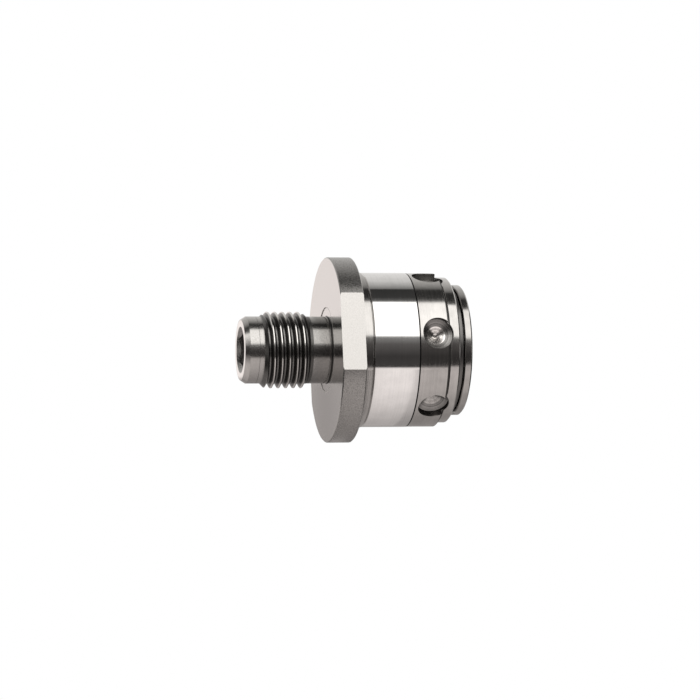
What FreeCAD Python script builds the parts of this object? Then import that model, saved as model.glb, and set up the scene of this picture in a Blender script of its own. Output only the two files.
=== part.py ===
import FreeCAD, Part
import math
import os

# Three-jaw drill chuck on a threaded, hollow shank. Millimetres.
# Frame: the chuck axis is X, the jaws point to +X, +Z is up.
# Origin: on the axis, in the plane of the flange's rear face.

# ---- cutters and blanks: how far they pass the faces they cut, and a reach beyond the whole part
PAST = 0.1
CLEAR_PAST = 1.0
REACH = 30.0

# ---- threaded shank (5/8-16 UN) and its hex socket
THREAD_R = 7.9375
THREAD_PITCH = 1.5875
THREAD_ROOT_R = 6.9635
THREAD_ROOT_FLAT = THREAD_PITCH / 6
THREAD_LEAD_TURNS = 1.1
THREAD_EXTRA_TURNS = 2.4
THREAD_RELIEF_R = 6.95
TIP_FACE_R = 6.3
SHANK_TIP_X = -18.0
TIP_CHAMFER_X = -17.0
THREAD_START_X = -14.0
THREAD_END_X = -4.4
SHANK_JOIN_X = -0.5
SHANK_OVERLAP = 0.2
SHANK_TRIM = 0.3
HEX_FLATS = 8.0
HEX_BOTTOM_X = -7.0
HEX_CORNER_DEG = 17.6
HEX_MOUTH_R = 4.85
HEX_DRILL_POINT = 2.2

# ---- flange with two wrench flats
FLANGE_R = 19.25
FLANGE_THICK = 4.9
FLANGE_FLATS = 35.0
FACE_GROOVE_R = 8.8
FACE_GROOVE_DEPTH = 0.12
SMALL_CHAMFER = 0.2

# ---- joint between arbor and body
SPIGOT_R = 5.5
SPIGOT_END_X = 11.9
SEAL_GROOVE_X = (6.0, 7.4)
SEAL_GROOVE_R = 4.6
SEAL_SECTION_R = 0.44
BOSS_R = 9.0
SPACER_R = 16.2
SPACER_END_X = 6.9
SPACER_CHAMFER = 0.15
PIN_R = 1.25
PIN_CIRCLE_R = 12.3
PIN_X = (1.4, 9.9)
PIN_END_ROOM = 0.3
SCREW_R = 2.5
SCREW_CHAMFER = 0.3
SCREW_TIP_X = 2.0
SCREW_HEAD_R = 3.6
SCREW_HEAD_X = (14.5, 17.3)
SCREW_HEX_FLATS = 3.0
SCREW_HEX_DEPTH = 1.8
WASHER_R = (2.7, 3.9)

# ---- chuck body
BODY_R = 16.05
BODY_REAR_X = 7.0
BODY_FRONT_X = 16.55
BODY_CHAMFER = 0.25
BODY_FRONT_CHAMFER = 0.1
WEB_X = (12.0, 14.0)
SCREW_CLEAR_R = 2.75
BORE_R = 4.2
BORE_MOUTH_R = 5.2
CORE_R = 7.5
NOSE_R = 10.2
NOSE_START_X = 22.75
NOSE_END_X = 27.85
CLIP_GROOVE_X = (25.55, 26.35)
CLIP_GROOVE_R = 9.4

# ---- jaws: round rods that slide in bores inclined to the chuck axis
JAW_COUNT = 3
JAW_TILT = math.radians(18.0)
JAW_R = 2.4
JAW_BORE_R = 2.45
JAW_LENGTH = 19.0
JAW_TAIL_ROOM = 0.6
JAW_SPARE = 4.0
JAW_TIP_X = 27.55
JAW_TIP_AXIS_R = 4.41
JAW_TRAVEL = 9.0
GRIP_R = 4.0
GRIP_MOUTH_R = 4.5
GRIP_MOUTH_LENGTH = 0.5
JAW_SIDE_GAP = 0.12
JAW_PITCH = 1.5

# ---- tooth profile, as heights above the jaw rod's axis and widths along it
GROOVE_FLOOR = 1.57
GROOVE_FLOOR_WIDTH = 0.57
GROOVE_TOP = 2.8
TOOTH_SWEEP = 60.0
TOOTH_COUNT = 10
TEETH_START = 4.5
RIDGE_CREST = 1.75
RIDGE_CREST_WIDTH = 0.384
RIDGE_ROOT = 2.55
FLANK_SLOPE = 0.625
NUT_CUTTER_FLOOR = 1.5

# ---- split nut and drive ring
NUT_R = 11.2
NUT_X = (16.65, 22.45)
NUT_FLANGE_R = 13.4
NUT_SPARE = 5.0
NUT_LEAD_TURNS = 1.5
NUT_EXTRA_TURNS = 3.5
NUT_FLANGE_END_X = 17.75
DOWEL_R = 0.6
DOWEL_COUNT = 4
DOWEL_X = (18.65, 22.45)
RING_R = 16.0
RING_X = (16.65, 25.2)
RING_CHAMFER = 0.1
RING_FRONT_CHAMFER = 0.25
RING_POCKET_R = 13.45
RING_POCKET_END_X = 17.8
RING_LAND_END_X = 22.65
RING_STEP_R = 15.15
RING_STEP_START_X = 23.1
RING_GROOVE_R = 14.9
BUSH_POCKET_R = 11.6
BUSH_POCKET_X = 22.85
BUSH_X = (22.9, 25.1)
BUSH_BORE_R = 10.25
TOMMY_COUNT = 6
TOMMY_R = 3.25
TOMMY_FIRST_DEG = 90.0
TOMMY_X = 20.5
TOMMY_FLOOR_R = 14.15
TOMMY_TIP_R = 12.2

# ---- thrust bearing between body and nut
RACE_R = (11.9, 14.5)
RECESS_R = (11.8, 14.6)
RECESS_X = 13.85
REAR_RACE_X = (13.85, 14.6)
FRONT_RACE_X = (15.9, 16.65)
BALL_CIRCLE_R = 13.2
BALL_X = 15.25
BALL_R = 0.78
RACEWAY_R = 0.82
BALL_COUNT = 24
CAGE_R = (12.2, 14.2)
CAGE_X = (14.85, 15.65)
CAGE_POCKET_R = 0.82

# ---- nose: friction washer, circlip and collar
FRICTION_WASHER_X = (25.3, 25.5)
FRICTION_WASHER_R = (10.25, 12.4)
CLIP_X = (25.57, 26.33)
CLIP_R = (9.45, 13.3)
CLIP_GAP_HALF = 1.5
CLIP_LUG_OFFSET = 2.9
CLIP_BAND_R = 12.9
CLIP_LUG_R = 1.75
CLIP_EYE_R = 0.8
CLIP_TURN_DEG = 225.0
COLLAR_R = 13.6
COLLAR_X = (26.55, 28.15)
COLLAR_CHAMFER = 0.3

TAN_TILT = math.tan(JAW_TILT)
COS_TILT = math.cos(JAW_TILT)
SIN_TILT = math.sin(JAW_TILT)
AXIAL_PITCH = JAW_PITCH * COS_TILT
ORIGIN = FreeCAD.Vector(0, 0, 0)
AXIS = FreeCAD.Vector(1, 0, 0)
UP = FreeCAD.Vector(0, 0, 1)
JAW_DIRECTION = FreeCAD.Vector(COS_TILT, 0, -SIN_TILT)
BETWEEN_JAWS = 180.0 / JAW_COUNT


def turned(outline, degrees=360.0):
    """Solid of revolution about X from a closed outline of (x, radius) points."""
    points = [FreeCAD.Vector(x, 0, r) for x, r in outline]
    face = Part.Face(Part.makePolygon(points + points[:1]))
    return face.revolve(ORIGIN, AXIS, degrees)


def rod(x_range, radius):
    """Cylinder on the chuck axis."""
    start, end = x_range
    return Part.makeCylinder(radius, end - start, FreeCAD.Vector(start, 0, 0), AXIS)


def tube(x_range, radii):
    """Plain ring on the chuck axis."""
    inner, outer = radii
    start, end = x_range
    return turned([(start, inner), (end, inner), (end, outer), (start, outer)])


def around(shape, degrees):
    """Copy of a shape turned about the chuck axis."""
    copy = shape.copy()
    copy.rotate(ORIGIN, AXIS, degrees)
    return copy


def on_circle(shape, count, first_degrees=0.0):
    """The same shape at equal angles about the chuck axis."""
    return [around(shape, first_degrees + 360.0 * i / count) for i in range(count)]


def pin_at(x_range, circle_r, radius):
    """Cylinder along X, standing off the axis by circle_r towards +Z."""
    start, end = x_range
    return Part.makeCylinder(radius, end - start, FreeCAD.Vector(start, 0, circle_r), AXIS)


def hexagon_bar(x_range, across_flats, corner_degrees):
    """Hexagonal bar on the axis, with one corner at an angle from -Y towards +Z."""
    start, end = x_range
    corner_r = across_flats / math.sqrt(3.0)
    corners = []
    for i in range(7):
        angle = math.radians(corner_degrees + 60.0 * i)
        corners.append(FreeCAD.Vector(start, -corner_r * math.cos(angle), corner_r * math.sin(angle)))
    return Part.Face(Part.makePolygon(corners)).extrude(FreeCAD.Vector(end - start, 0, 0))


def along_jaw(u, v):
    """(x, radius) of a point u along a jaw rod from its tip and v outward from its axis."""
    x = JAW_TIP_X + u * COS_TILT + v * SIN_TILT
    return x, JAW_TIP_AXIS_R - u * SIN_TILT + v * COS_TILT


def jaw_line_r(x, v):
    """Radius at x of the line that lies v outward from a jaw rod's axis."""
    return JAW_TIP_AXIS_R + (JAW_TIP_X - x) * TAN_TILT + v / COS_TILT


def thread_groove():
    """Helical V cutter for the shank's external thread."""
    turns_length = THREAD_END_X - THREAD_START_X + THREAD_EXTRA_TURNS * THREAD_PITCH
    start_x = THREAD_START_X - THREAD_LEAD_TURNS * THREAD_PITCH
    over = THREAD_R + PAST
    root_half = THREAD_ROOT_FLAT / 2
    top_half = root_half + (over - THREAD_ROOT_R) * math.tan(math.radians(30.0))
    helix = Part.makeHelix(THREAD_PITCH, turns_length, THREAD_ROOT_R)
    corners = [(THREAD_ROOT_R, -root_half), (over, -top_half), (over, top_half), (THREAD_ROOT_R, root_half)]
    points = [FreeCAD.Vector(r, 0, z) for r, z in corners]
    section = Part.makePolygon(points + points[:1])
    cutter = Part.Wire(helix.Edges).makePipeShell([section], True, True)
    cutter.rotate(ORIGIN, FreeCAD.Vector(0, 1, 0), 90.0)
    cutter.translate(FreeCAD.Vector(start_x, 0, 0))
    return cutter


def make_shank():
    """Threaded shank with a chamfered pilot in front of the thread and a plain neck behind it."""
    over = SHANK_TRIM
    lead = THREAD_R + over - THREAD_RELIEF_R
    slope = (THREAD_RELIEF_R - TIP_FACE_R) / (TIP_CHAMFER_X - SHANK_TIP_X)
    pilot_trim = turned([
        (SHANK_TIP_X - over, TIP_FACE_R - over * slope),
        (TIP_CHAMFER_X, THREAD_RELIEF_R),
        (THREAD_START_X, THREAD_RELIEF_R),
        (THREAD_START_X + lead, THREAD_R + over),
        (SHANK_TIP_X - over, THREAD_R + over),
    ])
    neck_trim = turned([
        (SHANK_JOIN_X + over, THREAD_RELIEF_R),
        (THREAD_END_X, THREAD_RELIEF_R),
        (THREAD_END_X - lead, THREAD_R + over),
        (SHANK_JOIN_X + over, THREAD_R + over),
    ])
    blank = rod((SHANK_TIP_X, SHANK_JOIN_X), THREAD_R)
    return blank.cut(thread_groove()).cut([pilot_trim, neck_trim])


def make_arbor():
    """Threaded shank, flange with wrench flats and the spigot that enters the body."""
    front = FLANGE_THICK
    flange = turned([
        (SHANK_JOIN_X - SHANK_OVERLAP, 0),
        (SHANK_JOIN_X - SHANK_OVERLAP, THREAD_RELIEF_R),
        (FACE_GROOVE_DEPTH, THREAD_RELIEF_R),
        (FACE_GROOVE_DEPTH, FACE_GROOVE_R),
        (0, FACE_GROOVE_R),
        (0, FLANGE_R - SMALL_CHAMFER),
        (SMALL_CHAMFER, FLANGE_R),
        (front - SMALL_CHAMFER, FLANGE_R),
        (front, FLANGE_R - SMALL_CHAMFER),
        (front, SPIGOT_R),
        (SEAL_GROOVE_X[0], SPIGOT_R),
        (SEAL_GROOVE_X[0], SEAL_GROOVE_R),
        (SEAL_GROOVE_X[1], SEAL_GROOVE_R),
        (SEAL_GROOVE_X[1], SPIGOT_R),
        (SPIGOT_END_X - SMALL_CHAMFER, SPIGOT_R),
        (SPIGOT_END_X, SPIGOT_R - SMALL_CHAMFER),
        (SPIGOT_END_X, 0),
    ])
    corner = FreeCAD.Vector(-REACH, -FLANGE_FLATS / 2, -REACH)
    between_flats = Part.makeBox(2 * REACH, FLANGE_FLATS, 2 * REACH, corner)
    arbor = make_shank().fuse(flange.common(between_flats))
    socket = hexagon_bar((SHANK_TIP_X - CLEAR_PAST, HEX_BOTTOM_X), HEX_FLATS, HEX_CORNER_DEG)
    mouth_depth = HEX_MOUTH_R - HEX_FLATS / 2
    mouth = turned([
        (SHANK_TIP_X - PAST, 0),
        (SHANK_TIP_X - PAST, HEX_MOUTH_R + PAST),
        (SHANK_TIP_X + mouth_depth, HEX_FLATS / 2),
        (SHANK_TIP_X + mouth_depth, 0),
    ])
    drill_point = turned([
        (HEX_BOTTOM_X, 0),
        (HEX_BOTTOM_X, HEX_FLATS / 2 - PAST),
        (HEX_BOTTOM_X + HEX_DRILL_POINT, 0),
    ])
    screw_hole = rod((SCREW_TIP_X - CLEAR_PAST, SPIGOT_END_X + CLEAR_PAST), SCREW_R)
    pin_holes = on_circle(pin_at(PIN_X, PIN_CIRCLE_R, PIN_R), JAW_COUNT, BETWEEN_JAWS)
    return arbor.cut([socket, mouth, drill_point, screw_hole] + pin_holes).removeSplitter()


def make_spacer_ring():
    """Ground ring between the flange and the body, with holes for the drive pins."""
    edge = SPACER_CHAMFER
    ring = turned([
        (FLANGE_THICK, BOSS_R),
        (SPACER_END_X, BOSS_R),
        (SPACER_END_X, SPACER_R - edge),
        (SPACER_END_X - edge, SPACER_R),
        (FLANGE_THICK, SPACER_R),
    ])
    return ring.cut(on_circle(pin_at(PIN_X, PIN_CIRCLE_R, PIN_R), JAW_COUNT, BETWEEN_JAWS))


def jaw_bore():
    """Cutter for one inclined jaw bore, above the axis."""
    x, r = along_jaw(-JAW_LENGTH - JAW_TAIL_ROOM, 0)
    return Part.makeCylinder(JAW_BORE_R, JAW_LENGTH + JAW_SPARE, FreeCAD.Vector(x, 0, r), JAW_DIRECTION)


def make_body():
    """Body with three jaw bores, the thrust bearing's recess, the nut's gap and the nose."""
    edge = BODY_CHAMFER
    mouth = BORE_MOUTH_R - BORE_R
    body = turned([
        (FLANGE_THICK, SPIGOT_R),
        (FLANGE_THICK, BOSS_R),
        (BODY_REAR_X, BOSS_R),
        (BODY_REAR_X, BODY_R - edge),
        (BODY_REAR_X + edge, BODY_R),
        (BODY_FRONT_X - BODY_FRONT_CHAMFER, BODY_R),
        (BODY_FRONT_X, BODY_R - BODY_FRONT_CHAMFER),
        (BODY_FRONT_X, RECESS_R[1]),
        (RECESS_X, RECESS_R[1]),
        (RECESS_X, RECESS_R[0]),
        (BODY_FRONT_X, RECESS_R[0]),
        (BODY_FRONT_X, CORE_R),
        (NOSE_START_X, CORE_R),
        (NOSE_START_X, NOSE_R),
        (CLIP_GROOVE_X[0], NOSE_R),
        (CLIP_GROOVE_X[0], CLIP_GROOVE_R),
        (CLIP_GROOVE_X[1], CLIP_GROOVE_R),
        (CLIP_GROOVE_X[1], NOSE_R),
        (NOSE_END_X - edge, NOSE_R),
        (NOSE_END_X, NOSE_R - edge),
        (NOSE_END_X, BORE_MOUTH_R),
        (NOSE_END_X - mouth, BORE_R),
        (WEB_X[1], BORE_R),
        (WEB_X[1], SCREW_CLEAR_R),
        (WEB_X[0], SCREW_CLEAR_R),
        (WEB_X[0], SPIGOT_R),
    ])
    pin_range = (PIN_X[0], PIN_X[1] + PIN_END_ROOM)
    pin_holes = on_circle(pin_at(pin_range, PIN_CIRCLE_R, PIN_R), JAW_COUNT, BETWEEN_JAWS)
    return body.cut(on_circle(jaw_bore(), JAW_COUNT) + pin_holes)


def make_lock_screw():
    """Socket head screw that holds the body on the arbor, reached between the open jaws."""
    edge = SCREW_CHAMFER
    screw = turned([
        (SCREW_TIP_X, 0),
        (SCREW_TIP_X, SCREW_R - edge),
        (SCREW_TIP_X + edge, SCREW_R),
        (SCREW_HEAD_X[0], SCREW_R),
        (SCREW_HEAD_X[0], SCREW_HEAD_R),
        (SCREW_HEAD_X[1] - edge, SCREW_HEAD_R),
        (SCREW_HEAD_X[1], SCREW_HEAD_R - edge),
        (SCREW_HEAD_X[1], 0),
    ])
    socket = (SCREW_HEAD_X[1] - SCREW_HEX_DEPTH, SCREW_HEAD_X[1] + CLEAR_PAST)
    return screw.cut(hexagon_bar(socket, SCREW_HEX_FLATS, 0))


def tooth_grooves(jaw_index):
    """Cutters for one jaw's teeth. Each jaw's teeth start a third of a pitch on from the last."""
    floor_half = GROOVE_FLOOR_WIDTH / 2
    top_half = floor_half + (GROOVE_TOP - GROOVE_FLOOR) * FLANK_SLOPE / 2
    ridge_u = (NUT_X[1] - JAW_TIP_X) / COS_TILT + JAW_PITCH * jaw_index / JAW_COUNT
    cutters = []
    for n in range(-TOOTH_COUNT, 1):
        centre = ridge_u + n * JAW_PITCH
        if centre < -TEETH_START:
            outline = [
                along_jaw(centre - floor_half, GROOVE_FLOOR),
                along_jaw(centre + floor_half, GROOVE_FLOOR),
                along_jaw(centre + top_half, GROOVE_TOP),
                along_jaw(centre - top_half, GROOVE_TOP),
            ]
            cutters.append(around(turned(outline, TOOTH_SWEEP), -TOOTH_SWEEP / 2))
    return cutters


def make_jaw(jaw_index):
    """Jaw rod with a gripping land parallel to the chuck axis and teeth on its outer side."""
    x, r = along_jaw(-JAW_LENGTH, 0)
    jaw = Part.makeCylinder(JAW_R, JAW_LENGTH + JAW_SPARE, FreeCAD.Vector(x, 0, r), JAW_DIRECTION)
    jaw = jaw.common(rod((0, JAW_TIP_X), REACH))
    apex = JAW_TRAVEL * SIN_TILT + JAW_SIDE_GAP
    half_width = (REACH - apex) * math.tan(math.pi / JAW_COUNT)
    corners = [
        FreeCAD.Vector(0, 0, apex),
        FreeCAD.Vector(0, half_width, REACH),
        FreeCAD.Vector(0, -half_width, REACH),
    ]
    sector = Part.Face(Part.makePolygon(corners + corners[:1])).extrude(AXIS * REACH)
    jaw = jaw.common(sector)
    grip = rod((0, REACH), GRIP_R)
    mouth = turned([
        (JAW_TIP_X - GRIP_MOUTH_LENGTH, 0),
        (JAW_TIP_X - GRIP_MOUTH_LENGTH, GRIP_R),
        (JAW_TIP_X + PAST, GRIP_MOUTH_R),
        (JAW_TIP_X + PAST, 0),
    ])
    jaw = jaw.cut([grip, mouth] + tooth_grooves(jaw_index))
    return around(jaw, 360.0 * jaw_index / JAW_COUNT)


def nut_groove():
    """Conical helical cutter that leaves the nut's ridges standing in the jaws' grooves."""
    ridge_half = RIDGE_CREST_WIDTH / 2
    floor_half = JAW_PITCH / 2 - ridge_half - (RIDGE_ROOT - RIDGE_CREST) * FLANK_SLOPE / 2
    inner_half = floor_half + (RIDGE_ROOT - NUT_CUTTER_FLOOR) * FLANK_SLOPE / 2
    start_x = NUT_X[1] + NUT_LEAD_TURNS * AXIAL_PITCH
    start_u = (start_x - JAW_TIP_X - RIDGE_CREST * SIN_TILT) / COS_TILT
    path_x, path_r = along_jaw(start_u, RIDGE_CREST)
    slant_length = ((NUT_X[1] - NUT_X[0]) / AXIAL_PITCH + NUT_EXTRA_TURNS) * JAW_PITCH
    helix = Part.makeHelix(JAW_PITCH, slant_length, path_r, math.degrees(JAW_TILT))
    corners = [
        (-inner_half, NUT_CUTTER_FLOOR),
        (inner_half, NUT_CUTTER_FLOOR),
        (floor_half, RIDGE_ROOT),
        (-floor_half, RIDGE_ROOT),
    ]
    points = []
    for du, v in corners:
        x, r = along_jaw(start_u + du, v)
        points.append(FreeCAD.Vector(r, 0, path_x - x))
    section = Part.makePolygon(points + points[:1])
    cutter = Part.Wire(helix.Edges).makePipeShell([section], True, True)
    cutter.rotate(ORIGIN, FreeCAD.Vector(0, 1, 0), -90.0)
    cutter.translate(FreeCAD.Vector(path_x, 0, 0))
    ridge_x = along_jaw((NUT_X[1] - JAW_TIP_X) / COS_TILT, RIDGE_CREST)[0]
    groove_x = ridge_x + AXIAL_PITCH / 2
    shift_turns = (groove_x - path_x) / AXIAL_PITCH
    return around(cutter, 360.0 * -shift_turns)


def dowels():
    """Dowels on the joint between nut and drive ring."""
    return on_circle(pin_at(DOWEL_X, NUT_R, DOWEL_R), DOWEL_COUNT, 180.0 / DOWEL_COUNT)


def make_nut():
    """Nut with a conical thread, before it is split."""
    start, end = NUT_X[0] - NUT_SPARE, NUT_X[1] + NUT_SPARE
    blank = turned([
        (start, jaw_line_r(start, RIDGE_CREST)),
        (end, jaw_line_r(end, RIDGE_CREST)),
        (end, NUT_FLANGE_R + CLEAR_PAST),
        (start, NUT_FLANGE_R + CLEAR_PAST),
    ])
    envelope = turned([
        (NUT_X[0], 0),
        (NUT_X[1], 0),
        (NUT_X[1], NUT_R),
        (NUT_FLANGE_END_X, NUT_R),
        (NUT_FLANGE_END_X, NUT_FLANGE_R),
        (NUT_X[0], NUT_FLANGE_R),
    ])
    return blank.cut(nut_groove()).common(envelope).cut(dowels())


def tommy_hole():
    """Cutter for one blind radial hole with a conical floor, above the axis."""
    tip = FreeCAD.Vector(TOMMY_X, 0, TOMMY_TIP_R)
    floor = FreeCAD.Vector(TOMMY_X, 0, TOMMY_FLOOR_R)
    cone = Part.makeCone(0, TOMMY_R, TOMMY_FLOOR_R - TOMMY_TIP_R, tip, UP)
    wall = Part.makeCylinder(TOMMY_R, REACH, floor, UP)
    return cone.fuse(wall)


def make_drive_ring():
    """Ring turned by hand or tommy bar, with six blind holes and a stepped front."""
    edge = RING_CHAMFER
    front_edge = RING_FRONT_CHAMFER
    ring = turned([
        (RING_X[0], RING_POCKET_R),
        (RING_X[0], RING_R - edge),
        (RING_X[0] + edge, RING_R),
        (RING_LAND_END_X - edge, RING_R),
        (RING_LAND_END_X, RING_R - edge),
        (RING_LAND_END_X, RING_GROOVE_R),
        (RING_STEP_START_X, RING_GROOVE_R),
        (RING_STEP_START_X, RING_STEP_R - edge),
        (RING_STEP_START_X + edge, RING_STEP_R),
        (RING_X[1] - front_edge, RING_STEP_R),
        (RING_X[1], RING_STEP_R - front_edge),
        (RING_X[1], BUSH_POCKET_R),
        (BUSH_POCKET_X, BUSH_POCKET_R),
        (BUSH_POCKET_X, NUT_R),
        (RING_POCKET_END_X, NUT_R),
        (RING_POCKET_END_X, RING_POCKET_R),
    ])
    holes = on_circle(tommy_hole(), TOMMY_COUNT, TOMMY_FIRST_DEG)
    return ring.cut(holes + dowels())


def raceway():
    """Ring-shaped cutter that shapes the ball track in both races."""
    track = Part.makeTorus(BALL_CIRCLE_R, RACEWAY_R)
    track.rotate(ORIGIN, FreeCAD.Vector(0, 1, 0), 90.0)
    track.translate(FreeCAD.Vector(BALL_X, 0, 0))
    return track


def make_cage():
    """Flat cage with one pocket for each ball."""
    pocket = pin_at((CAGE_X[0] - CLEAR_PAST, CAGE_X[1] + CLEAR_PAST), BALL_CIRCLE_R, CAGE_POCKET_R)
    return tube(CAGE_X, CAGE_R).cut(on_circle(pocket, BALL_COUNT))


def make_seal():
    """O-ring in the spigot's groove."""
    middle_r = (SEAL_GROOVE_R + SPIGOT_R) / 2
    seal = Part.makeTorus(middle_r, SEAL_SECTION_R)
    seal.rotate(ORIGIN, FreeCAD.Vector(0, 1, 0), 90.0)
    seal.translate(FreeCAD.Vector(sum(SEAL_GROOVE_X) / 2, 0, 0))
    return seal


def make_circlip():
    """External circlip with two eyed lugs at its gap."""
    inner, outer = CLIP_R
    thick = CLIP_X[1] - CLIP_X[0]
    whole = rod(CLIP_X, outer)
    lugs = []
    eyes = []
    for side in (-1, 1):
        centre = FreeCAD.Vector(CLIP_X[0], side * CLIP_LUG_OFFSET, outer - CLIP_LUG_R)
        lugs.append(Part.makeCylinder(CLIP_LUG_R, thick, centre, AXIS))
        eyes.append(Part.makeCylinder(CLIP_EYE_R, thick, centre, AXIS))
    clip = tube(CLIP_X, (inner, CLIP_BAND_R)).fuse(lugs)
    gap_corner = FreeCAD.Vector(CLIP_X[0], -CLIP_GAP_HALF, 0)
    gap = Part.makeBox(thick, 2 * CLIP_GAP_HALF, REACH, gap_corner)
    clip = clip.cut([gap, rod(CLIP_X, inner)] + eyes).common(whole)
    return around(clip, CLIP_TURN_DEG)


def make_nose_collar():
    """Collar pressed on the nose in front of the circlip."""
    edge = COLLAR_CHAMFER
    return turned([
        (COLLAR_X[0], NOSE_R),
        (COLLAR_X[0], COLLAR_R - edge / 2),
        (COLLAR_X[0] + edge / 2, COLLAR_R),
        (COLLAR_X[1] - edge, COLLAR_R),
        (COLLAR_X[1], COLLAR_R - edge),
        (COLLAR_X[1], NOSE_R + edge),
        (COLLAR_X[1] - edge, NOSE_R),
    ])


def save(name, shape):
    """Write one sub-part, as its separate solids, and print what it holds."""
    solids = shape.Solids
    result = solids[0] if len(solids) == 1 else Part.makeCompound(solids)
    print(name, "solids", len(solids), "valid", result.isValid(), "volume", round(result.Volume, 2))
    result.exportStep("parts/" + name + ".step")


def main():
    os.makedirs("parts", exist_ok=True)
    save("arbor", make_arbor())
    save("spacer_ring", make_spacer_ring())
    save("arbor_o_ring", make_seal())
    pins = on_circle(pin_at(PIN_X, PIN_CIRCLE_R, PIN_R), JAW_COUNT, BETWEEN_JAWS)
    save("drive_pins", Part.makeCompound(pins))
    save("chuck_body", make_body())
    save("lock_screw", make_lock_screw())
    save("lock_washer", tube((WEB_X[1], SCREW_HEAD_X[0]), WASHER_R))
    save("rear_race", tube(REAR_RACE_X, RACE_R).cut(raceway()))
    save("front_race", tube(FRONT_RACE_X, RACE_R).cut(raceway()))
    save("ball_cage", make_cage())
    ball = Part.makeSphere(BALL_R, FreeCAD.Vector(BALL_X, 0, BALL_CIRCLE_R))
    save("bearing_balls", Part.makeCompound(on_circle(ball, BALL_COUNT)))
    nut = make_nut()
    for name, low_z in (("nut_half_upper", 0), ("nut_half_lower", -REACH)):
        half_space = Part.makeBox(REACH, 2 * REACH, REACH, FreeCAD.Vector(0, -REACH, low_z))
        save(name, nut.common(half_space))
    save("nut_dowels", Part.makeCompound(dowels()))
    save("drive_ring", make_drive_ring())
    save("nose_bush", tube(BUSH_X, (BUSH_BORE_R, BUSH_POCKET_R)))
    for index in range(JAW_COUNT):
        save("jaw_" + str(index + 1), make_jaw(index))
    save("friction_washer", tube(FRICTION_WASHER_X, FRICTION_WASHER_R))
    save("circlip", make_circlip())
    save("nose_collar", make_nose_collar())


main()
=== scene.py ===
import math

import bpy
from mathutils import Matrix, Vector

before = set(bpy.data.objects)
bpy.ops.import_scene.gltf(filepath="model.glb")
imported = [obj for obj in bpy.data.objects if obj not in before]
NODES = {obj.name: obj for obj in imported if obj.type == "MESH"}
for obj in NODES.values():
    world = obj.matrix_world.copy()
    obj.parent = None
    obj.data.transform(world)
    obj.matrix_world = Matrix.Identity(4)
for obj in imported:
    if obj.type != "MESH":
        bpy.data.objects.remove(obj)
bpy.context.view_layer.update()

# Drill chuck on a threaded shank, in metres. The chuck axis is X and the jaws are at +X.
MM = 1000.0
WHITE = (1.0, 1.0, 1.0, 1.0)

# ---- camera
CAMERA_TARGET_X = 0.00513
CAMERA_DISTANCE = 0.728
CAMERA_SIDE_DEG = 11.5
CAMERA_BELOW_DEG = 12.8
CAMERA_LENS = 180.0
CAMERA_CLIP = (0.01, 20.0)
SENSOR_WIDTH = 36.0

# ---- studio, as (angle about X from -Y towards +Z, brightness from 0 to 1)
LIGHT_STRENGTH = 2.1
STUDIO_BANDS = [
    (-180.0, 0.19),
    (-165.0, 0.13),
    (-152.0, 0.28),
    (-125.0, 0.41),
    (-95.0, 0.45),
    (-65.0, 0.50),
    (-40.0, 0.52),
    (-38.0, 0.03),
    (-22.0, 0.025),
    (-4.0, 0.06),
    (6.5, 0.15),
    (9.0, 1.0),
    (62.0, 1.0),
    (65.0, 0.08),
    (72.0, 0.025),
    (90.0, 0.02),
    (91.5, 0.12),
    (100.0, 0.24),
    (112.0, 0.36),
    (130.0, 0.42),
    (152.0, 0.42),
    (160.0, 0.38),
    (180.0, 0.19),
]
LOWER_TINT = (1.07, 1.0, 0.975)
UPPER_TINT = (1.015, 1.0, 0.975)

# ---- the studio's two ends, as ranges of the X part of a direction
END_SHADE = (0.74, 0.84)
END_SHADE_LEVEL = 0.02
END_LIGHT = (0.965, 0.985)
END_LIGHT_LEVEL = 0.42

FLOOR_Z = -0.25
FLOOR_HALF = 3.0

# ---- grey card behind the flange: (left, right, low, high, back) in metres, the height where its lower shade
# meets its upper one, and a darker stripe across it as (x, reach) in millimetres and its level
CARD_BOX = (-0.070, -0.004, -0.030, 0.050, 0.080)
CARD_EDGE_Z = (0.0114, 0.0118)
CARD_SHADES = (0.5, 1.02)
CARD_DIP = (-15.8, 2.6, 0.5)

# ---- curved card below the shank in metres and degrees about X, with its shades as (x in mm, brightness)
BELOW_RADIUS = 0.060
BELOW_X = (-0.020, 0.045)
BELOW_DEG = (-155.0, -38.0)
BELOW_STEPS = 24
BELOW_SHADES = [
    (-20.0, 0.95),
    (-3.0, 0.9),
    (-1.0, 0.55),
    (9.5, 0.6),
    (11.0, 1.7),
    (13.2, 1.7),
    (13.6, 0.3),
    (16.0, 0.3),
    (16.5, 1.08),
    (25.2, 1.08),
    (25.6, 0.8),
    (32.0, 0.8),
    (34.5, 0.85),
    (45.0, 0.9),
]
BELOW_FADE_DEG = (-150.0, -45.0)
BELOW_FADE = 0.45

# ---- how turned and ground metal varies: noise scales per mm, shares of each pattern, edges of ramps
MARKS_AROUND = 0.6
CLOUD_SCALE = 0.35
GRAIN_SCALE = 5.0
CLOUD_SHARE = 0.6
MARK_SHARE = 0.4
BLEND_EDGES = (0.3, 0.7)
LOW_SHADE = 0.06
POLISH = 0.4
ROUGHEN = 0.6
GRAIN_HEIGHT = 0.15
SPOT_EDGES = (0.35, 0.65)
SPOT_ROUGH = (0.85, 1.15)
MOTTLE_HEIGHT = 6.0

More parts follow.
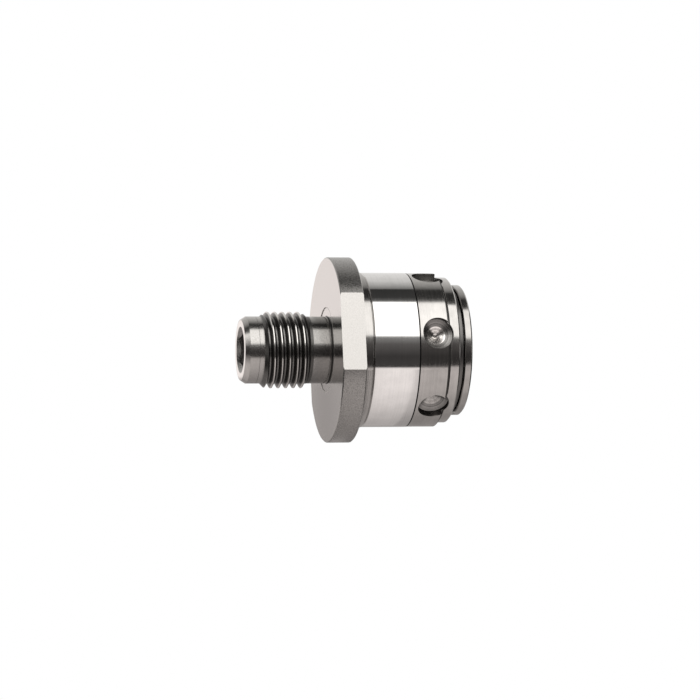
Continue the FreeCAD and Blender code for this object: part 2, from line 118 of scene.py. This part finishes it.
# ---- regions of the arbor in millimetres: (low, high, softness) of a window, (from, to) of a ramp
FLANGE_X = (-0.2, 5.0, 0.05)
RIM_R = (19.0, 19.15)
FLAT_SIDE = (17.46, 17.49)
SHANK_X = (-18.5, -0.05, 0.05)
SHANK_R = (6.0, 6.3)
NECK_X = (-3.9, 0.3, 0.1)
ROOT_X = (-0.12, 0.2, 0.03)
ROOT_R = (7.0, 7.2)
FACE_X = (-0.05, 0.15, 0.02)
FACE_R = (19.0, 19.1)
FACE_MARK_X = (-0.1, 0.11, 0.02)
FACE_MARK_R = (8.65, 8.95, 0.05)
THREAD_X = (-14.2, -3.9, 0.1)
THREAD_R = (6.93, 6.97)
CREST_R = (7.6, 7.8)
RUN_OUT_X = (-5.3, -3.8, 0.1)
SCRIBED_X = (-15.06, -14.98, 0.03)
SOCKET_R = (4.7, 4.9)

# ---- regions of the drive ring in millimetres, the holes' measured outward from a hole's own axis
HOLE_X = 20.5
HOLE_STEP = math.radians(60.0)
HOLE_OUTER_R = (15.75, 15.9)
WALL_FROM_HOLE = (3.21, 3.35, 0.02)
FLOOR_FROM_HOLE = (3.18, 3.21)
CENTRE_FROM_HOLE = (1.9, 2.2)
FLOOR_RINGS_PER_MM = 3.2
OUTER_RING_EDGES = (0.4, 0.6)
CENTRE_RING_EDGES = (0.35, 0.65)
# painted highlight: angles around 0 pick the hole that faces -Y, whose floor centre is painted near white
HIGHLIGHT_HOLE_ANGLE = (HOLE_STEP * 0.45, HOLE_STEP * 0.5)
GROOVE_X = (22.47, 23.13, 0.02)
GROOVE_FROM_HOLE = (3.28, 3.4)
LAND_FACE_R = (15.1, 15.85, 0.03)
RING_JOINT_X = (16.6, 16.76, 0.01)

# ---- regions of the body in millimetres
BODY_BORE_R = (9.0, 9.2)
NOSE_X = (23.0, 23.2)
NOSE_R = (9.2, 9.4)
BODY_JOINT_X = (16.46, 16.6, 0.01)
BODY_JOINT_R = (15.6, 15.8)

# ---- looks of the regions, laid over each other in this order: tone, roughness, mottle
ARBOR_LOOKS = {
    "face": (0.5, 0.15, 0.05),
    "outside": (0.38, 0.2, 0.1),
    "neck": (0.27, 0.2, 0.2),
    # painted shade: the groove at the neck's foot is painted near black for the shade that falls in it
    "root_shade": (0.05, 0.4, 0.1),
    # painted shade: the thread is painted dark for the shade in its grooves
    "threaded": (0.11, 0.3, 0.2),
    # painted highlight: the thread's crests are painted light
    "crest_highlight": (0.6, 0.16, 0.05),
    # painted shade: the thread's run-out is painted dark for the shade in it
    "run_out_shade": (0.10, 0.35, 0.3),
    "scribed": (0.12, 0.3, 0.0),
    "face_mark": (0.6, 0.6, 0.1),
    "socket": (0.3, 0.35, 0.5),
    "rim": (0.27, 0.3, 0.32),
    "flat": (0.46, 0.24, 0.08),
}
RING_LOOKS = {
    # painted shade and reflection: the holes' walls and floors are painted dark for the shade inside the
    # holes, their centres lighter for the light they reflect; the rings on the floors are turning marks
    "wall": (0.16, 0.3, 0.1),
    "floor": (0.12, 0.32, 0.1),
    "outer": (0.26, 0.3, 0.1),
    "centre": (0.3, 0.3, 0.1),
    "marks": (0.4, 0.25, 0.1),
    # painted highlight on the floor centre of the hole that faces -Y
    "painted_highlight": (0.92, 0.22, 0.1),
    # painted shade: the groove at the front of the drive ring is painted near black for the shade in it
    "groove": (0.07, 0.4, 0.1),
    # painted shade: the ring's bevel at its joint with the body is painted near black for the shade in the
    # gap
    "joint": (0.05, 0.4, 0.1),
}
BODY_LOOKS = {
    "inner": (0.4, 0.3, 0.15),
    "nose": (0.55, 0.22, 0.08),
    # painted shade: the body's bevel at its joint with the ring is painted dark for the shade in the gap
    "joint": (0.1, 0.4, 0.1),
}

# ---- colours, each as (darker, lighter)
OXIDE = ((0.018, 0.017, 0.017, 1.0), (0.06, 0.05, 0.045, 1.0))
BRASS = ((0.50, 0.33, 0.12, 1.0), (0.74, 0.54, 0.25, 1.0))
BRONZE = ((0.40, 0.21, 0.10, 1.0), (0.62, 0.36, 0.19, 1.0))
RUBBER = ((0.012, 0.012, 0.012, 1.0), (0.035, 0.034, 0.033, 1.0))
FLOOR_PAINT = ((0.80, 0.80, 0.79, 1.0), (0.84, 0.84, 0.83, 1.0))


# ---------------------------------------------------------------- node helpers
def add(tree, kind, inputs=None, **settings):
    """Adds a shader node, sets its properties, and links or sets its inputs."""
    made = tree.nodes.new(kind)
    for key, value in settings.items():
        setattr(made, key, value)
    for key, value in (inputs or {}).items():
        if isinstance(value, bpy.types.NodeSocket):
            tree.links.new(value, made.inputs[key])
        else:
            made.inputs[key].default_value = value
    return made


def calc(tree, operation, *values, clamp=False):
    """One Math node on sockets or numbers."""
    node = add(tree, "ShaderNodeMath", dict(enumerate(values)), operation=operation, use_clamp=clamp)
    return node.outputs[0]


def ramp(tree, value, low, high):
    """0 below low and 1 above high, with a smooth step between them."""
    node = add(tree, "ShaderNodeMapRange", {"Value": value, "From Min": low, "From Max": high},
               interpolation_type="SMOOTHSTEP")
    return node.outputs["Result"]


def below(tree, value, low, high):
    """1 below low and 0 above high, with a smooth step between them."""
    return calc(tree, "SUBTRACT", 1.0, ramp(tree, value, low, high))


def both(tree, first, second):
    """1 where both masks are 1."""
    return calc(tree, "MULTIPLY", first, second)


def window(tree, value, low, high, soft):
    """1 between low and high, with soft edges."""
    return both(tree, ramp(tree, value, low - soft, low + soft), below(tree, value, high - soft, high + soft))


def mix_color(tree, factor, first, second):
    """The first colour where factor is 0 and the second where it is 1."""
    node = add(tree, "ShaderNodeMix", {0: factor, 6: first, 7: second}, data_type="RGBA")
    return node.outputs[2]


def mix_value(tree, factor, first, second):
    """The first number where factor is 0 and the second where it is 1."""
    node = add(tree, "ShaderNodeMix", {0: factor, 2: first, 3: second}, data_type="FLOAT")
    return node.outputs[0]


def noise(tree, vector, scale, detail=3.0, roughness=0.55, distortion=0.0):
    node = add(tree, "ShaderNodeTexNoise", {
        "Vector": vector, "Scale": scale, "Detail": detail,
        "Roughness": roughness, "Distortion": distortion,
    })
    return node.outputs["Fac"]


def length(tree, vector):
    node = add(tree, "ShaderNodeVectorMath", {0: vector}, operation="LENGTH")
    return node.outputs["Value"]


def combine(tree, x, y, z):
    return add(tree, "ShaderNodeCombineXYZ", {0: x, 1: y, 2: z}).outputs[0]


def chuck_coordinates(tree):
    """Object coordinates in millimetres: (vector, x, y, z, radius from the axis, angle about it)."""
    place = add(tree, "ShaderNodeTexCoord").outputs["Object"]
    scaled = add(tree, "ShaderNodeVectorMath", {0: place, "Scale": MM}, operation="SCALE").outputs[0]
    split = add(tree, "ShaderNodeSeparateXYZ", {0: scaled})
    x, y, z = split.outputs
    radius = length(tree, combine(tree, 0.0, y, z))
    angle = calc(tree, "ARCTAN2", z, calc(tree, "MULTIPLY", y, -1.0))
    return scaled, x, y, z, radius, angle


def grey(value, warmth=0.03):
    """A slightly warm grey."""
    return (value * (1.0 + warmth), value, value * (1.0 - warmth), 1.0)


def fill_color_ramp(color_ramp, stops):
    """Replaces a colour ramp's points with (position, RGB colour) stops."""
    points = color_ramp.elements
    points.remove(points[0])
    for i, (position, color) in enumerate(stops):
        point = points[0] if i == 0 else points.new(position)
        point.position = position
        point.color = color + (1.0,)


def tinted(value, tint):
    return tuple(value * part for part in tint)


def new_material(name):
    """An empty node material and its tree."""
    material = bpy.data.materials.new(name)
    material.use_nodes = True
    material.node_tree.nodes.clear()
    return material, material.node_tree


def finish_material(tree, color, rough, height, distance, **fixed):
    """Principled shader with a bump of the given height in metres."""
    bump = add(tree, "ShaderNodeBump", {"Height": height, "Strength": 1.0, "Distance": distance})
    shader = add(tree, "ShaderNodeBsdfPrincipled", {
        "Base Color": color, "Roughness": rough, "Normal": bump.outputs["Normal"],
    })
    for key, value in fixed.items():
        shader.inputs[key.replace("_", " ")].default_value = value
    output = add(tree, "ShaderNodeOutputMaterial")
    tree.links.new(shader.outputs[0], output.inputs["Surface"])


# ---------------------------------------------------------------- metals
def turning_marks(tree, x, radius, angle, per_mm):
    """Fine rings left by a lathe on bands and faces alike."""
    place = combine(tree, calc(tree, "MULTIPLY", x, per_mm), calc(tree, "MULTIPLY", radius, per_mm),
                    calc(tree, "MULTIPLY", angle, MARKS_AROUND))
    return noise(tree, place, 1.0, detail=2.0, roughness=0.6)


def metal(name, tone, rough, per_mm=4.0, marks=0.5, cloud=0.08, warmth=0.03, depth=4e-7, layers=None):
    """Turned or ground metal. layers(tree, place) gives (mask, tone, roughness, mottle) for its regions."""
    material, tree = new_material(name)
    place = chuck_coordinates(tree)
    vector, x, _, _, radius, angle = place
    lines = turning_marks(tree, x, radius, angle, per_mm)
    clouds = noise(tree, vector, CLOUD_SCALE, detail=4.0)
    grain = noise(tree, vector, GRAIN_SCALE, detail=3.0, roughness=0.7)
    tone_low = grey(tone * (1.0 - cloud - LOW_SHADE), warmth)
    tone_high = grey(min(tone * (1.0 + cloud), 1.0), warmth)
    blend = calc(tree, "ADD", calc(tree, "MULTIPLY", clouds, CLOUD_SHARE),
                 calc(tree, "MULTIPLY", lines, MARK_SHARE))
    color = mix_color(tree, ramp(tree, blend, *BLEND_EDGES), tone_low, tone_high)
    rough_value = mix_value(tree, ramp(tree, lines, *BLEND_EDGES), rough * (1.0 - marks * POLISH),
                            rough * (1.0 + marks * ROUGHEN))
    height = calc(tree, "ADD", calc(tree, "MULTIPLY", lines, marks),
                  calc(tree, "MULTIPLY", grain, GRAIN_HEIGHT))
    smooth, coarse = SPOT_ROUGH
    for mask, layer_tone, layer_rough, mottle in (layers(tree, place) if layers else []):
        spots = ramp(tree, grain, *SPOT_EDGES)
        layer_color = mix_color(tree, spots, grey(layer_tone * (1.0 - mottle), warmth),
                                grey(min(layer_tone * (1.0 + mottle), 1.0), warmth))
        color = mix_color(tree, mask, color, layer_color)
        rough_value = mix_value(tree, mask, rough_value,
                                mix_value(tree, spots, layer_rough * smooth, layer_rough * coarse))
        rougher = calc(tree, "MULTIPLY", both(tree, grain, mask), mottle * MOTTLE_HEIGHT)
        height = calc(tree, "ADD", height, rougher)
    finish_material(tree, color, rough_value, height, depth, Metallic=1.0)
    return material


def dressed(masks, region_looks):
    """Layers for metal(), one for each look, in the looks' order."""
    return [(masks[region],) + look for region, look in region_looks.items()]


def arbor_regions(tree, place):
    """The arbor's flange (face and its ring mark, rim, wrench flats), shank, neck and the neck's foot, thread
    with its crests and run-out, scribed line and hex socket. The neck's foot, the thread and its run-out are
    painted dark for the shade in their grooves, and the thread's crests get a painted highlight."""
    _, x, y, _, radius, _ = place
    flange = window(tree, x, *FLANGE_X)
    shank = window(tree, x, *SHANK_X)
    outside = both(tree, shank, ramp(tree, radius, *SHANK_R))
    threaded = both(tree, window(tree, x, *THREAD_X), ramp(tree, radius, *THREAD_R))
    masks = {
        "face": both(tree, window(tree, x, *FACE_X), below(tree, radius, *FACE_R)),
        "outside": outside,
        "neck": both(tree, window(tree, x, *NECK_X), outside),
        # painted shade in the groove at the neck's foot
        "root_shade": both(tree, window(tree, x, *ROOT_X), below(tree, radius, *ROOT_R)),
        # painted shade in the thread's grooves
        "threaded": threaded,
        # painted highlight on the thread's crests
        "crest_highlight": both(tree, threaded, ramp(tree, radius, *CREST_R)),
        # painted shade in the thread's run-out
        "run_out_shade": both(tree, window(tree, x, *RUN_OUT_X), outside),
        "scribed": both(tree, window(tree, x, *SCRIBED_X), outside),
        "face_mark": both(tree, window(tree, radius, *FACE_MARK_R), window(tree, x, *FACE_MARK_X)),
        "socket": both(tree, shank, below(tree, radius, *SOCKET_R)),
        "rim": both(tree, ramp(tree, radius, *RIM_R), flange),
        "flat": both(tree, ramp(tree, calc(tree, "ABSOLUTE", y), *FLAT_SIDE), flange),
    }
    return dressed(masks, ARBOR_LOOKS)


def ring_regions(tree, place):
    """Walls and ring-marked floors of the drive ring's six holes, the groove at its front and the bevel at
    its joint with the body. The holes' walls and floors are painted dark for the shade inside them, with
    lighter centres for the light they reflect and a painted highlight on the floor of the hole that faces -Y;
    the groove and the bevel are painted dark for the shade in them."""
    _, x, _, _, radius, angle = place
    turns = calc(tree, "ROUND", calc(tree, "DIVIDE", angle, HOLE_STEP))
    nearest = calc(tree, "MULTIPLY", turns, HOLE_STEP)
    across = calc(tree, "MULTIPLY", radius, calc(tree, "SINE", calc(tree, "SUBTRACT", angle, nearest)))
    from_hole = length(tree, combine(tree, calc(tree, "SUBTRACT", x, HOLE_X), across, 0.0))
    outward = calc(tree, "MULTIPLY", from_hole, FLOOR_RINGS_PER_MM)
    rings = noise(tree, combine(tree, outward, 0.0, 0.0), 1.0, detail=1.0)
    inside = below(tree, radius, *HOLE_OUTER_R)
    floor = both(tree, inside, below(tree, from_hole, *FLOOR_FROM_HOLE))
    centre = both(tree, floor, below(tree, from_hole, *CENTRE_FROM_HOLE))
    marks = both(tree, centre, ramp(tree, rings, *CENTRE_RING_EDGES))
    # painted highlight: picks the hole that faces -Y
    highlight_hole_mask = below(tree, calc(tree, "ABSOLUTE", angle), *HIGHLIGHT_HOLE_ANGLE)
    off_land_face = calc(tree, "SUBTRACT", 1.0, window(tree, radius, *LAND_FACE_R))
    off_holes = ramp(tree, from_hole, *GROOVE_FROM_HOLE)
    masks = {
        # painted shade inside the holes, with lighter painted reflection at the floors' centres
        "wall": both(tree, inside, window(tree, from_hole, *WALL_FROM_HOLE)),
        "floor": floor,
        "outer": both(tree, floor, ramp(tree, rings, *OUTER_RING_EDGES)),
        "centre": centre,
        "marks": marks,
        "painted_highlight": both(tree, marks, highlight_hole_mask),
        # painted shade in the groove at the ring's front
        "groove": both(tree, window(tree, x, *GROOVE_X), both(tree, off_land_face, off_holes)),
        # painted shade in the gap between the ring and the body
        "joint": window(tree, x, *RING_JOINT_X),
    }
    return dressed(masks, RING_LOOKS)


def body_regions(tree, place):
    """The body's nose and inner bores, duller than its ground band, and the bevel at its joint with the drive
    ring, painted dark for the shade in the gap between them."""
    _, x, _, _, radius, _ = place
    masks = {
        "inner": below(tree, radius, *BODY_BORE_R),
        "nose": both(tree, ramp(tree, x, *NOSE_X), ramp(tree, radius, *NOSE_R)),
        # painted shade in the gap between the body and the ring
        "joint": both(tree, window(tree, x, *BODY_JOINT_X), ramp(tree, radius, *BODY_JOINT_R)),
    }
    return dressed(masks, BODY_LOOKS)


# ---------------------------------------------------------------- other materials
def blackened(name):
    """Oxide-blackened steel, a little brown where it has been handled."""
    material, tree = new_material(name)
    vector = chuck_coordinates(tree)[0]
    grain = noise(tree, vector, 3.0, detail=5.0, roughness=0.65)
    color = mix_color(tree, ramp(tree, grain, 0.4, 0.7), *OXIDE)
    rough = mix_value(tree, grain, 0.28, 0.5)
    finish_material(tree, color, rough, grain, 3e-6, Metallic=0.6)
    return material


def copper_alloy(name, dark, light, rough):
    """Brass or bronze with turning marks and a light tarnish."""
    material, tree = new_material(name)
    vector, x, _, _, radius, angle = chuck_coordinates(tree)
    lines = turning_marks(tree, x, radius, angle, 5.0)
    tarnish = noise(tree, vector, 0.8, detail=5.0)
    color = mix_color(tree, ramp(tree, tarnish, 0.3, 0.7), dark, light)
    rough_value = mix_value(tree, tarnish, rough * 0.8, rough * 1.3)
    finish_material(tree, color, rough_value, lines, 1e-6, Metallic=1.0)
    return material


def rubber(name):
    """Black seal rubber."""
    material, tree = new_material(name)
    vector = chuck_coordinates(tree)[0]
    grain = noise(tree, vector, 8.0, detail=4.0)
    color = mix_color(tree, grain, *RUBBER)
    finish_material(tree, color, mix_value(tree, grain, 0.45, 0.65), grain, 4e-6)
    return material


def floor_paint(name):
    """Pale matte studio floor."""
    material, tree = new_material(name)
    place = add(tree, "ShaderNodeTexCoord").outputs["Object"]
    soft = noise(tree, place, 3.0, detail=3.0)
    color = mix_color(tree, soft, *FLOOR_PAINT)
    finish_material(tree, color, mix_value(tree, soft, 0.85, 0.95), soft, 1e-5)
    return material


looks = {
    "arbor": metal("turned_steel", 0.68, 0.1, per_mm=5.0, layers=arbor_regions),
    "spacer_ring": metal("spacer_steel", 0.4, 0.12, per_mm=6.0),
    "chuck_body": metal("ground_steel", 0.68, 0.07, per_mm=7.0, marks=0.35, cloud=0.03, warmth=0.01,
                        layers=body_regions),
    "drive_ring": metal("ring_steel", 0.44, 0.13, per_mm=5.0, layers=ring_regions),
    "nose_collar": metal("collar_steel", 0.38, 0.15, per_mm=5.0),
    "nut": metal("nut_steel", 0.5, 0.2, per_mm=5.0),
    "hardened": metal("hardened_steel", 0.42, 0.2, per_mm=3.0, cloud=0.12, warmth=0.05),
    "bearing": metal("bearing_steel", 0.66, 0.06, per_mm=8.0, marks=0.3),
    "spring": metal("spring_steel", 0.14, 0.3, per_mm=3.0),
    "black": blackened("black_steel"),
    "brass": copper_alloy("cage_brass", *BRASS, 0.25),
    "bronze": copper_alloy("bush_bronze", *BRONZE, 0.3),
    "rubber": rubber("seal_rubber"),
}

WEARS = {
    "arbor": "arbor",
    "spacer_ring": "spacer_ring",
    "chuck_body": "chuck_body",
    "drive_ring": "drive_ring",
    "nose_collar": "nose_collar",
    "nut_half_upper": "nut",
    "nut_half_lower": "nut",
    "jaw_1": "hardened",
    "jaw_2": "hardened",
    "jaw_3": "hardened",
    "drive_pins": "hardened",
    "nut_dowels": "hardened",
    "rear_race": "bearing",
    "front_race": "bearing",
    "bearing_balls": "bearing",
    "circlip": "spring",
    "lock_screw": "black",
    "lock_washer": "black",
    "ball_cage": "brass",
    "nose_bush": "bronze",
    "friction_washer": "spring",
    "arbor_o_ring": "rubber",
}

for node_name, look in WEARS.items():
    mesh = NODES[node_name].data
    mesh.materials.clear()
    mesh.materials.append(looks[look])


# ---------------------------------------------------------------- studio
def make_world():
    """Soft studio seen in the metal as bands of light and shade along the chuck axis."""
    world = bpy.data.worlds.new("studio")
    bpy.context.scene.world = world
    world.use_nodes = True
    tree = world.node_tree
    tree.nodes.clear()
    direction = add(tree, "ShaderNodeTexCoord").outputs["Generated"]
    split = add(tree, "ShaderNodeSeparateXYZ", {0: direction})
    dx, dy, dz = split.outputs
    angle = calc(tree, "ARCTAN2", dz, calc(tree, "MULTIPLY", dy, -1.0))
    turn = calc(tree, "ADD", calc(tree, "DIVIDE", angle, 2.0 * math.pi), 0.5)
    bands = add(tree, "ShaderNodeValToRGB", {0: turn})
    fill_color_ramp(bands.color_ramp, [
        (degrees / 360.0 + 0.5, tinted(value, LOWER_TINT if degrees < 0.0 else UPPER_TINT))
        for degrees, value in STUDIO_BANDS
    ])
    sideways = calc(tree, "ABSOLUTE", dx)
    shaded = mix_color(tree, ramp(tree, sideways, *END_SHADE), bands.outputs[0], grey(END_SHADE_LEVEL))
    seen = mix_color(tree, ramp(tree, sideways, *END_LIGHT), shaded, grey(END_LIGHT_LEVEL))
    studio = add(tree, "ShaderNodeBackground", {"Color": seen, "Strength": LIGHT_STRENGTH})
    plain = add(tree, "ShaderNodeBackground", {"Color": WHITE, "Strength": 1.0})
    is_camera = add(tree, "ShaderNodeLightPath").outputs["Is Camera Ray"]
    mixed = add(tree, "ShaderNodeMixShader", {0: is_camera, 1: studio.outputs[0], 2: plain.outputs[0]})
    output = add(tree, "ShaderNodeOutputWorld")
    tree.links.new(mixed.outputs[0], output.inputs["Surface"])


def staged_mesh(name, corners, faces):
    """A new object in the scene, made of plain faces."""
    mesh = bpy.data.meshes.new(name)
    mesh.from_pydata(corners, [], faces)
    made = bpy.data.objects.new(name, mesh)
    bpy.context.scene.collection.objects.link(made)
    return made, mesh


def glow(card, material, tree, color, strength):
    """Gives a card its light, which only the metal's reflections see."""
    light = add(tree, "ShaderNodeEmission", {"Color": color, "Strength": strength})
    output = add(tree, "ShaderNodeOutputMaterial")
    tree.links.new(light.outputs[0], output.inputs["Surface"])
    card.data.materials.append(material)
    card.visible_camera = False
    card.visible_diffuse = False
    card.visible_shadow = False


def make_floor():
    """Large pale floor under the part, left out of its reflections."""
    h = FLOOR_HALF
    corners = [(-h, -h, FLOOR_Z), (h, -h, FLOOR_Z), (h, h, FLOOR_Z), (-h, h, FLOOR_Z)]
    floor, mesh = staged_mesh("floor", corners, [(0, 1, 2, 3)])
    mesh.materials.append(floor_paint("pale_floor"))
    floor.visible_glossy = False


def make_grey_card():
    """Two-tone card behind the flange, seen only in the metal."""
    left, right, low, high, back = CARD_BOX
    corners = [(left, back, low), (right, back, low), (right, back, high), (left, back, high)]
    card, _ = staged_mesh("grey_card", corners, [(0, 1, 2, 3)])
    material, tree = new_material("grey_card")
    place = add(tree, "ShaderNodeTexCoord").outputs["Object"]
    along, _, height = add(tree, "ShaderNodeSeparateXYZ", {0: place}).outputs
    dip_x, dip_reach, dip_level = CARD_DIP
    away = calc(tree, "ABSOLUTE", calc(tree, "SUBTRACT", calc(tree, "MULTIPLY", along, MM), dip_x))
    dip = mix_value(tree, ramp(tree, away, 0.0, dip_reach), dip_level, 1.0)
    lower_shade, upper_shade = CARD_SHADES
    lower = calc(tree, "MULTIPLY", dip, lower_shade)
    shade = mix_value(tree, ramp(tree, height, *CARD_EDGE_Z), lower, upper_shade)
    glow(card, material, tree, LOWER_TINT + (1.0,), shade)


def make_card_below():
    """Curved card under the part, seen only in the metal, with a shade for each stretch of its length."""
    first, last = BELOW_X
    low, high = (math.radians(degrees) for degrees in BELOW_DEG)
    corners = []
    for i in range(BELOW_STEPS + 1):
        angle = low + (high - low) * i / BELOW_STEPS
        y = -BELOW_RADIUS * math.cos(angle)
        z = BELOW_RADIUS * math.sin(angle)
        corners += [(first, y, z), (last, y, z)]
    faces = [(2 * i, 2 * i + 1, 2 * i + 3, 2 * i + 2) for i in range(BELOW_STEPS)]
    card, _ = staged_mesh("card_below", corners, faces)
    material, tree = new_material("card_below")
    _, x, _, _, _, angle = chuck_coordinates(tree)
    start, end = BELOW_SHADES[0][0], BELOW_X[1] * MM
    along = calc(tree, "DIVIDE", calc(tree, "SUBTRACT", x, start), end - start)
    shades = add(tree, "ShaderNodeValToRGB", {0: along})
    fill_color_ramp(shades.color_ramp, [
        ((place - start) / (end - start), tinted(value, LOWER_TINT)) for place, value in BELOW_SHADES
    ])
    fade_low, fade_high = (math.radians(degrees) for degrees in BELOW_FADE_DEG)
    fade = mix_value(tree, ramp(tree, angle, fade_low, fade_high), BELOW_FADE, 1.0)
    glow(card, material, tree, shades.outputs[0], fade)


def make_camera():
    """Long-lens camera to the part's left and below it, aimed at its axis."""
    side = math.radians(CAMERA_SIDE_DEG)
    below = math.radians(CAMERA_BELOW_DEG)
    back = Vector((
        -math.sin(side),
        -math.cos(side) * math.cos(below),
        -math.cos(side) * math.sin(below),
    ))
    up = Vector((0.0, -math.sin(below), math.cos(below)))
    right = up.cross(back).normalized()
    up = back.cross(right)
    data = bpy.data.cameras.new("camera")
    data.lens = CAMERA_LENS
    data.sensor_width = SENSOR_WIDTH
    data.clip_start, data.clip_end = CAMERA_CLIP
    camera = bpy.data.objects.new("camera", data)
    bpy.context.scene.collection.objects.link(camera)
    turn = Matrix((right, up, back)).transposed().to_4x4()
    place = Vector((CAMERA_TARGET_X, 0.0, 0.0)) + back * CAMERA_DISTANCE
    camera.matrix_world = Matrix.Translation(place) @ turn
    bpy.context.scene.camera = camera


make_world()
make_floor()
make_grey_card()
make_card_below()
make_camera()
bpy.context.scene.view_settings.view_transform = "Standard"
